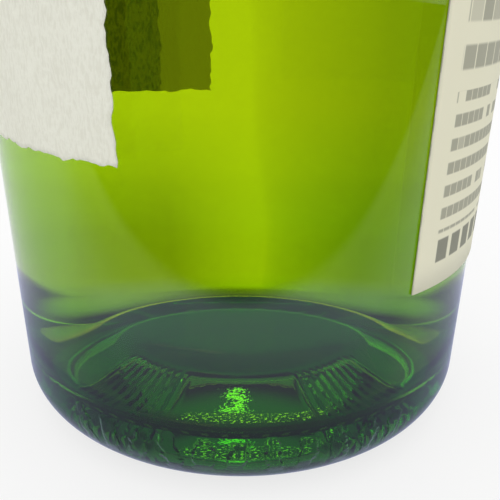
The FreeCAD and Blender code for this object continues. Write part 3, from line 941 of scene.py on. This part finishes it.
@dataclass(frozen=True)
class WhiteTable(Finish):
    """A white table top, with painted reflections, painted shadow and painted glints that only mirror rays
    and rays through glass see.

    Lengths are in millimetres. A mask is nought at its pair's first number and one at the
    second. A band is its middle and the distances from it of nought and of one.
    """

    name: str = "white_table"
    paint: Colour = (0.97, 0.97, 0.97)
    plain: Colour = (1.0, 1.0, 1.0)
    plain_share: float = 0.75
    # painted shadow under the bottle, and painted dark reflection past the table's edge
    dark: Colour = (0.010, 0.014, 0.012)
    # painted reflections: emission tones that only mirror rays see
    close: Colour = (0.44, 0.47, 0.66)
    middle: Colour = (1.14, 1.16, 1.58)
    side: Colour = (0.80, 0.83, 1.06)
    beside: Colour = (0.95, 1.00, 0.95)
    ahead: Colour = (0.62, 0.70, 0.32)
    middle_near: Pair = (35.0, 65.0)
    middle_spread: Pair = (48.0, 88.0)
    ahead_near: Pair = (30.0, 85.0)
    ahead_spread: Pair = (79.0, 90.0)
    edge_near: Pair = (91.0, 104.0)
    # painted light: a green glow under the bottle, as of light through the glass
    glow: Colour = (0.015, 0.140, 0.010)
    glow_spread: Pair = (24.0, 6.0)
    # painted glints: bright sparks under the bottle that rays through glass see
    spark: Colour = (0.55, 1.70, 0.0)
    painted_front_glint: Colour = (0.95, 1.50, 0.0)
    spark_level: Pair = (0.76, 0.88)
    spark_wander: float = 10.0
    back_half_width: float = 5.5
    back_right: float = -0.8
    back_first: Pair = (-26.0, -18.0)
    back_last: Pair = (10.0, -2.0)
    left_half_width: float = 3.0
    left_right: float = -15.0
    left_near: Band = (-31.0, 9.0, 3.0)
    front_right: Band = (1.0, 13.0, 9.0)
    front_near: Band = (9.0, 8.0, 5.0)
    shadow_rim: Pair = (49.0, 54.5)
    shadow_narrowing: float = 0.025
    blind_near: Pair = (20.0, 40.0)
    blind_spread: Pair = (150.0, 120.0)

    def mirrored(self, graph: Graph, near: Value, spread: Value) -> Value:
        """Painted reflections, what mirror rays see: bluish close by, paler further out, and dark past the
        table's edge.
        """
        tone = graph.mix(near.ramp(*self.middle_near), self.side, self.middle)
        tone = graph.mix(spread.ramp(*self.middle_spread), self.close, tone)
        far = graph.mix(near.ramp(*self.ahead_near), self.beside, self.ahead)
        tone = graph.mix((spread - near * 0.2).ramp(*self.ahead_spread), tone, far)
        return graph.mix(near.ramp(*self.edge_near), tone, self.dark)

    def under_glass(self, graph: Graph, place: Value, near: Value, right: Value, spread: Value) -> Value:
        """What rays through glass see under the bottle: painted shadow, a soft green glow of painted light
        and bright painted glints.

        The sparks are stretched noise above a level that falls in each of three patches: a
        wandering line at the back, a short line to its left, and a field in front.
        """
        net = graph.noise(graph.stretch(place, (1.0, 2.6, 1.0)), 700.0, 2.0, 0.6)
        bend = (graph.noise(place, 160.0) - 0.5) * self.spark_wander
        back = (right + bend - self.back_right).size().climb(self.back_half_width, 0.0)
        back = back * near.ramp(*self.back_first) * near.ramp(*self.back_last)
        left = (right - self.left_right).size().climb(self.left_half_width, 0.0)
        left = left * near.around(*self.left_near)
        front = right.around(*self.front_right) * near.around(*self.front_near)
        # painted glints where the noise climbs above a level in the three patches
        sparks = (net + back.most(left * 0.8).most(front * 0.56) * 0.38).ramp(*self.spark_level)
        # painted shadow under the bottle, with a painted green glow
        lit = graph.mix(spread.ramp(*self.glow_spread), self.dark, self.glow)
        return graph.mix(sparks, lit, graph.mix(front, self.spark, self.painted_front_glint))

    def passed(self, near: Value, right: Value, spread: Value) -> Value:
        """Where rays through glass go on below the table: past the painted shadow, except close in front,
        where they also see it.

        The shadow's reach is the distance from the axis plus a share of the squared distance to
        the right.
        """
        reach = spread + right * right * self.shadow_narrowing
        blind = near.ramp(*self.blind_near) * spread.ramp(*self.blind_spread)
        return reach.ramp(*self.shadow_rim) * (1.0 - blind)

    def draw(self, graph: Graph) -> None:
        """White under white light, in part plain white to the camera, and toned to other rays."""
        camera, mirror, through = ray_kinds(graph)
        place = graph.place()
        table = graph.millimetres(place)
        near, right, _ = camera_axes(graph, table)
        spread = graph.node("ShaderNodeVectorMath", {"operation": "LENGTH"}, {0: table}, "Value")
        seen = graph.mix(mirror, self.under_glass(graph, place, near, right, spread),
                         self.mirrored(graph, near, spread))
        seen = graph.node("ShaderNodeEmission", None, {"Color": graph.mix(camera, seen, self.plain)})
        paint = graph.node("ShaderNodeBsdfDiffuse", None, {"Color": (*self.paint, 1.0)})
        share = (camera * self.plain_share).most(mirror).most(through)
        top = graph.node("ShaderNodeMixShader", None, {0: share, 1: paint, 2: seen})
        share = self.passed(near, right, spread) * through
        clear = graph.node("ShaderNodeBsdfTransparent")
        top = graph.node("ShaderNodeMixShader", None, {0: share, 1: top, 2: clear})
        graph.node("ShaderNodeOutputMaterial", None, {"Surface": top})


@dataclass(frozen=True)
class WhiteRoom:
    """A white room, with tones that only mirror rays and rays through glass see.

    Pairs are parts of a ray's direction, with a mask of nought at the first and one at the second.
    """

    name: str = "white_room"
    white: Colour = (1.0, 1.0, 1.0)
    dark: Colour = (0.010, 0.014, 0.012)
    side: Colour = (0.66, 0.72, 0.74)
    above: Colour = (0.010, 0.230, 0.040)
    front: Colour = (0.55, 0.60, 0.55)
    mirrored_front: Pair = (0.10, 0.42)
    seen_front: Pair = (0.0, 0.1)
    horizon: Pair = (0.0, 0.03)
    low_down: Pair = (-0.15, -0.32)
    to_the_left: Pair = (-0.004, -0.14)
    to_the_right: Pair = (0.0, 0.07)
    behind_level: float = 1.24

    def behind(self, graph: Graph, right: Value, up: Value) -> Value:
        """The room behind, as the glass shows it: dimmer to the left, and low down also aside.

        The level falls by a share of the root of how far to the left a ray goes, and low down
        red falls a little more than green and blue.
        """
        low = up.climb(*self.low_down)
        left = (right + low * 0.012).climb(*self.to_the_left).root()
        level = self.behind_level - left * 0.57 - low * right.climb(*self.to_the_right) * 0.44 - low * 0.09
        red = level * (1.0 - low * (left * 0.14 + 0.13))
        below = graph.node("ShaderNodeCombineXYZ", None, {0: red, 1: level, 2: level})
        return graph.mix(up.ramp(*self.horizon), below, self.above)

    def build(self) -> None:
        """White all round to plain rays, and toned to mirror rays and to rays through glass."""
        world = bpy.data.worlds.new(self.name)
        world.use_nodes = True
        graph = Graph(world.node_tree)
        _, mirror, through = ray_kinds(graph)
        near, right, up = camera_axes(graph, graph.place())
        mirrored = graph.mix(near.ramp(*self.mirrored_front), self.side, self.dark)
        seen = graph.mix(near.ramp(*self.seen_front), self.behind(graph, right, up), self.front)
        colour = graph.mix(mirror, graph.mix(through, self.white, seen), mirrored)
        background = graph.node("ShaderNodeBackground", None, {"Color": colour, "Strength": 1.0})
        graph.node("ShaderNodeOutputWorld", None, {"Surface": background})
        bpy.context.scene.world = world


@dataclass
class Studio:
    """A round white table in a white room."""

    floor_radius: float = 1500.0
    corners: int = 96

    def build_floor(self) -> None:
        """A disc of triangles about its middle, with its rim's points at even turns."""
        number = np.arange(self.corners)
        turn = number * FULL_TURN / self.corners
        rim = np.stack([np.sin(turn), -np.cos(turn), np.zeros(self.corners)], 1) * self.floor_radius
        fan = np.stack([np.full(self.corners, self.corners), number, (number + 1) % self.corners], 1)
        floor = build_mesh("floor", np.concatenate([rim, np.zeros((1, 3))]), [fan])
        floor.data.materials.append(WhiteTable().material())

    def build(self) -> None:
        """Builds the floor and the room, and keeps colours as they are written."""
        self.build_floor()
        WhiteRoom().build()
        bpy.context.scene.view_settings.view_transform = "Standard"


@dataclass
class Viewpoint:
    """The camera close to the bottle's foot, looking down on it from its right-hand side."""

    azimuth: float = CAMERA_AZIMUTH
    distance: float = 110.954
    height: float = 67.337
    yaw: float = 0.0134
    pitch: float = 0.3826
    roll: float = 0.0101
    lens: float = 47.13

    def build(self) -> None:
        """Turns the pan, the downward pitch and the roll into the camera's axes."""
        turn = math.radians(self.azimuth)
        heading = turn - self.yaw
        level, fall = math.cos(self.pitch), math.sin(self.pitch)
        forward = np.array([-math.sin(heading) * level, math.cos(heading) * level, -fall])
        right = np.array([math.cos(heading), math.sin(heading), 0.0])
        above = np.cross(right, forward)
        side = math.cos(self.roll) * right + math.sin(self.roll) * above
        above = math.cos(self.roll) * above - math.sin(self.roll) * right
        place = np.array([math.sin(turn) * self.distance, -math.cos(turn) * self.distance, self.height]) * MM
        data = bpy.data.cameras.new("camera")
        data.lens = self.lens
        data.sensor_width = 36.0
        data.clip_start = 0.005
        camera = bpy.data.objects.new("camera", data)
        axes = np.stack([side, above, -forward, place], 1)
        camera.matrix_world = Matrix([*axes.tolist(), [0.0, 0.0, 0.0, 1.0]])
        bpy.context.collection.objects.link(camera)
        bpy.context.scene.camera = camera


def main() -> None:
    """Builds the frame's pieces in order, then the studio and the camera."""
    logging.basicConfig(level=logging.INFO)
    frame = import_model()
    washi = WrappedLabel("washi_label", "front_label", "washi_paper", WashiPaper(), middle=0.0,
                         angle=152.0, low=48.5, high=137.5, tilt=0.0147, ragged=0.45)
    cream = WrappedLabel("cream_label", "back_label", "cream_paper", PrintedPaper(), middle=180.0,
                         angle=93.0, low=29.0, high=124.0, rows=24, columns=90)
    for maker in (Bottle(), Drink(), washi, cream):
        piece = maker.build()
        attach(piece, "root")
        LOG.info("%s: %d faces", piece.name, len(piece.data.polygons))
    Closure().build(frame["nodes"])
    LOG.info("cap and band dressed")
    Studio().build()
    Viewpoint().build()


if __name__ == "__main__":
    main()
